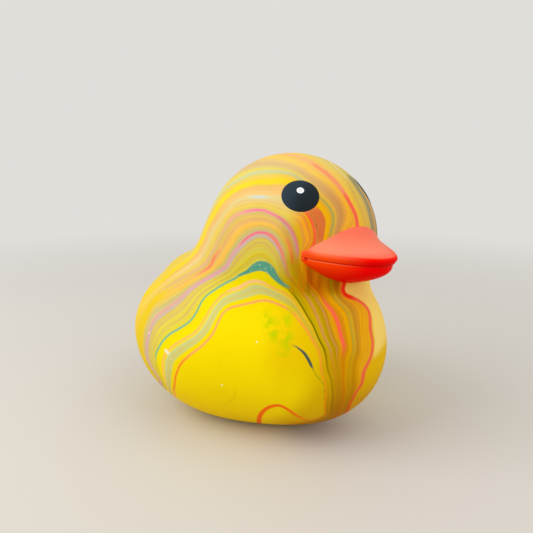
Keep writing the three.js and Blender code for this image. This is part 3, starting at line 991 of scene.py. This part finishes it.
# Bill: part of the moulding, sprayed with flexible coral paint after it leaves the mould.
# A mouth groove runs round its rim, and its corners end in small lobes with a pit in each.
BILL_HALF_WIDTH = 18.7
BILL_REACH = 12.8
BILL_CROWN = 8
BILL_KEEL = 5.9
BILL_SUNK = 9
MOUTH_HEIGHT = 66.4
MOUTH_CORNER_RISE = 2.2
MOUTH_CORNER_HEIGHT = MOUTH_HEIGHT + MOUTH_CORNER_RISE
MOUTH_HALF_GAP = 0.12
MOUTH_GROOVE = 1.3
CORNER_LOBE = 1
CORNER_PLUMPNESS = 0.45
UPPER_LIP_RADIUS = 1.3
LOWER_LIP_RADIUS = 0.65
LOWER_LIP_SETBACK = 1.7
CORNER_PIT_ASIDE = 17.8
CORNER_PIT_DROP = 0.4
CORNER_PIT_HEIGHT = MOUTH_CORNER_HEIGHT - CORNER_PIT_DROP
CORNER_PIT_RADIUS = 0.5
CORNER_PIT_DEPTH = 0.22
# Powers of the cosine of the angle across the face, or of its sine for the mouth and the plumpness,
# and then powers of the share along a section.
LOBE_POWER = 0.28
REACH_POWER = 3.3
ROOT_POWER = 0.5
CROWN_POWER = 2.5
KEEL_POWER = 2.2
MOUTH_POWER = 2.2
PLUMPNESS_POWER = 6
RIDGE_POWER = 1.65
BOWL_POWER = 0.47
# How open the groove is at the sides, what it loses of that at the tip, and the cosines between which
# it opens from the corners and closes again to the tip.
GROOVE_OPEN = 0.6
GROOVE_TIP_LOSS = 0.45
GROOVE_OPENS = (0.3, 0.55)
GROOVE_CLOSES = (0.6, 0.95)
BILL_ROWS = 170
BILL_TOP_STEPS = 44
BILL_LIP_STEPS = 14
BILL_BOTTOM_STEPS = 40


def face_at(aside, height):
    """How far forward the head's ellipsoid reaches at a place across and a height."""
    across = aside / HEAD["aside"]
    up = (height - HEAD["centre"][2]) / HEAD["above"]
    return HEAD["centre"][0] + HEAD["ahead"] * np.sqrt(np.clip(1 - across**2 - up**2, 0, 1))


def bill_grid():
    """Lengthwise sections of the bill from the left corner of the mouth to the right one.

    With a the angle across the face, a section lies at half-width times sin a. Its reach, crown
    and keel fall off as powers of cos a. It runs from inside the head down a hollow ridge, round
    the upper lip's arc, into the groove, round the lower lip's arc and back along a full bowl.
    Towards the corners the upper lip grows plumper as a power of sin a, the groove closes, and both
    lips become one lobe with a round pit, whose depth falls off as e to the minus square of the
    distance. At the tip the groove is shallow.
    """
    angle = np.linspace(pi / 2, -pi / 2, BILL_ROWS + 2)[1:-1, None]
    cosine, sine = np.cos(angle), np.abs(np.sin(angle))
    aside = BILL_HALF_WIDTH * np.sin(angle)
    mouth = MOUTH_HEIGHT + MOUTH_CORNER_RISE * sine**MOUTH_POWER
    face = face_at(aside, mouth)
    lobe = cosine**LOBE_POWER
    rim = face + BILL_REACH * cosine**REACH_POWER + CORNER_LOBE * lobe
    root = face - BILL_SUNK * cosine**ROOT_POWER
    gap, lower = MOUTH_HALF_GAP * lobe, LOWER_LIP_RADIUS * lobe
    upper = UPPER_LIP_RADIUS * lobe * (1 + CORNER_PLUMPNESS * sine**PLUMPNESS_POWER)
    lip_end = rim - LOWER_LIP_SETBACK * (0.5 + 0.5 * cosine**2) * lobe

    step = np.linspace(0, 1, BILL_TOP_STEPS, endpoint=False)[None, :]
    top = root + (rim - upper - root) * step
    share = np.clip((top - face) / (rim - upper - face), 0, 1)
    top_height = mouth + gap + 2 * upper + BILL_CROWN * cosine**CROWN_POWER * (1 - share) ** RIDGE_POWER

    arc = np.linspace(pi / 2, -pi / 2, BILL_LIP_STEPS)[None, :]
    upper_lip = rim - upper + upper * np.cos(arc)
    upper_lip_height = mouth + gap + upper + upper * np.sin(arc)
    groove = rim - upper - MOUTH_GROOVE * lobe
    arc = np.linspace(pi / 2, 0, BILL_LIP_STEPS)[None, :]
    lower_lip = lip_end - lower + lower * np.cos(arc)
    lower_lip_height = mouth - gap - lower + lower * np.sin(arc)

    lips = np.hstack([upper_lip, groove, lower_lip])
    lips_height = np.hstack([upper_lip_height, mouth, lower_lip_height])
    drop = np.clip((mouth + gap + upper - lips_height) / (2 * gap + upper + lower), 0, 1)
    closed = rim - (rim - lip_end) * drop
    opened = GROOVE_OPEN - GROOVE_TIP_LOSS * np.interp(cosine, GROOVE_CLOSES, (0, 1))
    opened = opened * np.interp(cosine, GROOVE_OPENS, (0, 1))
    lips = np.where(drop > 0, closed + (lips - closed) * opened, lips)

    step = (np.arange(1, BILL_BOTTOM_STEPS + 1)[None, :] / BILL_BOTTOM_STEPS) ** 2
    bottom = lip_end + (root - lip_end) * step
    share = np.clip((lip_end - bottom) / (lip_end - face), 0, 1)
    keel = BILL_KEEL * cosine**KEEL_POWER + lower
    bottom_height = mouth - gap - lower - keel * share**BOWL_POWER

    forward = np.hstack([top, lips, bottom])
    height = np.hstack([top_height, lips_height, bottom_height])
    from_pit = (np.abs(aside) - CORNER_PIT_ASIDE) ** 2 + (height - CORNER_PIT_HEIGHT) ** 2
    forward = forward - CORNER_PIT_DEPTH * np.exp(-from_pit / CORNER_PIT_RADIUS**2)
    rings = np.stack([forward, aside + 0 * forward, height], -1)
    corner_ahead = face_at(BILL_HALF_WIDTH, MOUTH_CORNER_HEIGHT)
    corner = np.array([corner_ahead, BILL_HALF_WIDTH, MOUTH_CORNER_HEIGHT])
    return corner, rings, corner * (1, -1, 1)


bill = closed_piece("bill", *bill_grid())

# How far round its section each point of the bill lies: 0 to 1 along the top, 1 to 2 round the upper
# lip, 2.25 in the groove, 2.5 to 3.5 round the lower lip and 3.5 to 5 along the bowl. The two poles
# lie at the middle of the upper lip.
SECTION_POLE = 1.5
SECTION_GROOVE = 2.25
SECTION_END = 5
round_section = np.concatenate(
    [
        np.linspace(0, 1, BILL_TOP_STEPS),
        np.linspace(1, 2, BILL_LIP_STEPS),
        [SECTION_GROOVE],
        np.linspace(2.5, 3.5, BILL_LIP_STEPS),
        np.linspace(3.5, SECTION_END, BILL_BOTTOM_STEPS),
    ]
)
round_sections = np.tile(round_section, BILL_ROWS)
keep_field(bill, "section", np.concatenate([[SECTION_POLE], round_sections, [SECTION_POLE]]))

# The paint's colours round the section, as shares of the way round, at the tip and at the corners. They
# hold painted light: a paler top as if lit from above, painted shade under the upper lip, in the groove
# and along the bowl, and a painted highlight on the lower lip.
TIP_PAINT_AND_LIGHT = [
    (0.0, (255, 124, 94)),
    (0.1, (255, 118, 90)),
    (0.15, (255, 134, 106)),
    (0.17, (255, 134, 108)),
    (0.21, (255, 94, 62)),
    (0.25, (248, 14, 0)),
    (0.31, (240, 0, 0)),
    (0.38, (220, 0, 0)),
    (0.45, (170, 0, 0)),
    (0.49, (232, 2, 0)),
    (0.51, (255, 14, 0)),
    (0.57, (255, 12, 0)),
    (0.64, (255, 2, 0)),
    (0.75, (246, 0, 0)),
    (1.0, (222, 0, 0)),
]
CORNER_PAINT_AND_LIGHT = [
    (0.0, (255, 130, 96)),
    (0.15, (255, 144, 110)),
    (0.19, (255, 142, 108)),
    (0.255, (255, 116, 74)),
    (0.305, (255, 86, 26)),
    (0.36, (255, 70, 0)),
    (0.39, (238, 50, 0)),
    (0.45, (190, 24, 0)),
    (0.48, (224, 60, 20)),
    (0.5, (255, 128, 88)),
    (0.57, (255, 126, 84)),
    (0.66, (255, 78, 4)),
    (0.78, (246, 56, 0)),
    (1.0, (206, 40, 0)),
]
LOBE_CORAL = tint(255, 78, 22)
PIT_PAINTED_SHADE = tint(200, 12, 0)
CLOUD_PINK = tint(255, 142, 114)
SCUFF_RED = tint(226, 56, 36)
pit_ahead = face_at(CORNER_PIT_ASIDE, CORNER_PIT_HEIGHT) + CORNER_LOBE / 2
CORNER_PITS = [(pit_ahead, side * CORNER_PIT_ASIDE, CORNER_PIT_HEIGHT) for side in (1, -1)]


def bill_paint():
    """Coral paint, pale on top and at the corners, redder at the lips and below and dark in the groove,
    partly as painted shade, with a painted highlight on the lower lip.
    """
    finish, place = new_finish("bill_paint")
    section = field(place, "section")
    across = abs(coordinate(place, 1))
    paint_and_light = [ramp(section / SECTION_END, stops) for stops in (TIP_PAINT_AND_LIGHT, CORNER_PAINT_AND_LIGHT)]
    colour = mixed(rise(across, 6, 16, MM), *paint_and_light)
    lobes = rise(across, 15.5, 18, MM) * rise(section, 2.4, 2.1)
    colour = mixed(lobes * 0.7, colour, LOBE_CORAL)
    # Painted shade, dark red, in the pit at each corner of the mouth.
    for pit in CORNER_PITS:
        colour = mixed(rise(distance_to(place, pit), 0.9, 0.35, MM) * 0.8, colour, PIT_PAINTED_SHADE)
    cloud = grain(place, 160, detail=3.0)
    colour = mixed(rise(cloud, 0.45, 0.75) * rise(section, 1.2, 0.9) * 0.15, colour, CLOUD_PINK)
    scuff = rise(grain(place, 700), 0.68, 0.76)
    colour = mixed(scuff * 0.2, colour, SCUFF_RED)
    pores = grain(place, 900, detail=3.0, roughness=0.6)
    close_finish(place, colour, 0.42 + scuff * 0.15, gloss=0.02, height=pores * 0.02 + cloud * 0.05)
    return finish


bill.data.materials.append(bill_paint())
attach(bill, "root")


# Eyes: two ovals of matt blue-black paint, pad-printed on the sides of the head.
# The paint stands a little proud of the skin and thins to nothing at its edge.
EYE_CENTRES = {"right": (44.3, -15.3, 87.2), "left": (42.0, 17.35, 86.9)}
EYE_HALF_LENGTH = 6.0
EYE_HALF_HEIGHT = 5.75
EYE_PROUD = 0.14
EYE_SUNK = 0.2
EYE_EDGE_POWER = 8
EYE_RINGS = 40
EYE_COLUMNS = 96
EYE_BLACK = tint(12, 24, 30)
EYE_PAINTED_SHEEN = tint(36, 53, 66)
EYE_GRAIN = tint(46, 60, 72)


def painted_oval(name, centre, half_length, half_height, lift, proud):
    """A thin closed oval of paint on the head.

    Rays from the head's middle fan out round the oval's centre over radius and angle. The upper
    face stands off the skin by lift, plus proud times 1 less a high power of the radius, and the
    lower one is sunk evenly under the skin.
    """
    middle = np.array(HEAD["centre"], float)
    centre = np.array(centre)
    out = (centre - middle) / np.linalg.norm(centre - middle)
    along = np.cross((0, 0, 1), out)
    along /= np.linalg.norm(along)
    upright = np.cross(out, along)
    angle = np.linspace(0, 2 * pi, EYE_COLUMNS, endpoint=False)[None, :, None]
    radius = np.linspace(0, 1, EYE_RINGS + 1)[1:, None, None]
    spread = radius * (half_length * np.cos(angle) * along + half_height * np.sin(angle) * upright)
    ways = out * np.linalg.norm(centre - middle) + spread
    ways /= np.linalg.norm(ways, axis=-1, keepdims=True)
    on_skin = skin_along(middle, ways)
    upper = on_skin + ways * (lift + proud * (1 - radius**EYE_EDGE_POWER))
    lower = on_skin - ways * EYE_SUNK
    pole = skin_along(middle, out)
    rings = np.concatenate([upper, lower[::-1]])
    return closed_piece(name, pole + out * (lift + proud), rings, pole - out * EYE_SUNK)


def eye_paint():
    """Blue-black paint with fine grain, greyed towards the back of the eye by a ragged painted sheen, a
    painted reflection of bright light.
    """
    finish, place = new_finish("eye_paint")
    middle = EYE_CENTRES["right"][0]
    sheen_edge = coordinate(place, 0) + (grain(place, 250, detail=3.0) - 0.5) * 4 * MM
    colour = mixed(rise(sheen_edge, middle + 3, middle - 4, MM), EYE_BLACK, EYE_PAINTED_SHEEN)
    pores = grain(place, 1600, detail=3.0, roughness=0.6)
    colour = mixed(rise(pores, 0.6, 0.75) * 0.35, colour, EYE_GRAIN)
    close_finish(place, colour, 0.55 + pores * 0.15, gloss=0.2, height=pores * 0.05)
    return finish


eye_finish = eye_paint()
for side, centre in EYE_CENTRES.items():
    eye = painted_oval("eye_" + side, centre, EYE_HALF_LENGTH, EYE_HALF_HEIGHT, 0.0, EYE_PROUD)
    eye.data.materials.append(eye_finish)
    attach(eye, "root")


# Eye dots: a small spot of white paint, printed over each eye above its middle.
# The print is a little thin in its centre, where the eye's colour greys it.
DOT_CENTRES = {"right": (43.6, -14.7, 88.5), "left": (41.2, 16.55, 88.2)}
DOT_HALF_LENGTH = 1.15
DOT_HALF_HEIGHT = 1.1
DOT_PROUD = 0.08
DOT_WHITE = tint(240, 242, 246)
DOT_GREY = tint(206, 208, 214)


def eye_dot_paint():
    """White paint that greys towards the middle of each dot."""
    finish, place = new_finish("eye_dot_paint")
    right, left = [distance_to(place, centre) for centre in DOT_CENTRES.values()]
    ragged = right.math("MINIMUM", right, left) + (grain(place, 1800) - 0.5) * 0.5 * MM
    colour = mixed(rise(ragged, 0.9, 0.3, MM) * 0.6, DOT_WHITE, DOT_GREY)
    close_finish(place, colour, 0.5 + ragged * 20, gloss=0.4, height=grain(place, 1500) * 0.04)
    return finish


dot_finish = eye_dot_paint()
for side, centre in DOT_CENTRES.items():
    dot = painted_oval("eye_dot_" + side, centre, DOT_HALF_LENGTH, DOT_HALF_HEIGHT, EYE_PROUD, DOT_PROUD)
    dot.data.materials.append(dot_finish)
    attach(dot, "root")


# Studio: a plain pale floor that runs into a backdrop of the same tone, under soft light from the
# upper left, seen from where the lens stood.
BACKDROP = tint(224, 222, 218)
SKY = (0.72, 0.71, 0.69, 1.0)
FLOOR = tint(214, 210, 204)
FLOOR_HALF_SIDE = 3.0
# How far from the duck, in metres, the lit floor begins to run into the backdrop's even tone, and
# where it ends.
FLOOR_FADE = (0.12, 0.55)
floor_mesh = bpy.data.meshes.new("floor")
floor_corners = np.array([(-1, -1, 0), (1, -1, 0), (1, 1, 0), (-1, 1, 0)]) * FLOOR_HALF_SIDE
floor_mesh.from_pydata(floor_corners.tolist(), [], [(0, 1, 2, 3)])
floor = bpy.data.objects.new("floor", floor_mesh)
bpy.context.scene.collection.objects.link(floor)
floor_finish, floor_place = new_finish("pale_floor")
lit = floor_place.node("ShaderNodeBsdfDiffuse", {}, {"Color": FLOOR})
even = floor_place.node("ShaderNodeEmission", {}, {"Color": BACKDROP, "Strength": 1.0})
away = floor_place.node("ShaderNodeVectorMath", {"operation": "LENGTH"}, {0: floor_place}, "Value")
seen = floor_place.node("ShaderNodeLightPath", output="Is Camera Ray")
faded = rise(away, *FLOOR_FADE) * seen
shader = floor_place.node("ShaderNodeMixShader", {}, {0: faded, 1: lit, 2: even})
floor_place.node("ShaderNodeOutputMaterial", {}, {"Surface": shader})
floor_mesh.materials.append(floor_finish)

world = bpy.data.worlds.new("studio")
bpy.context.scene.world = world
world.use_nodes = True
world.node_tree.nodes.clear()
sky = Strand(world.node_tree)
sky_colour = mixed(sky.node("ShaderNodeLightPath", output="Is Camera Ray"), SKY, BACKDROP)
sky_light = sky.node("ShaderNodeBackground", {}, {"Color": sky_colour, "Strength": 1.0})
sky.node("ShaderNodeOutputWorld", {}, {"Surface": sky_light})

# Soft lights: where each one hangs, its side in metres and its watts. Both are aimed at the duck.
SOFTBOXES = {
    "key": ((-0.14, -0.46, 0.40), 0.5, 1.9),
    "fill": ((0.42, 0.10, 0.40), 0.5, 0.6),
}
LIGHT_AIM = Vector((0.01, 0, 0.05))
for name, (at, side, watts) in SOFTBOXES.items():
    lamp = bpy.data.lights.new(name, "AREA")
    lamp.energy = watts
    lamp.size = side
    box = bpy.data.objects.new(name, lamp)
    box.location = at
    box.rotation_euler = (LIGHT_AIM - Vector(at)).to_track_quat("-Z", "Y").to_euler()
    bpy.context.scene.collection.objects.link(box)

lens = bpy.data.cameras.new("camera")
lens.sensor_width = 36
lens.lens = FOCAL_PIXELS / PHOTO_SIDE * lens.sensor_width
lens.clip_start = 0.01
camera = bpy.data.objects.new("camera", lens)
camera.location = np.array(LENS_AT) * MM
camera.rotation_euler = (pi / 2 - LENS_TILT, 0, LENS_HEADING)
bpy.context.scene.collection.objects.link(camera)
bpy.context.scene.camera = camera
bpy.context.scene.view_settings.view_transform = "Standard"

bpy.context.view_layer.update()
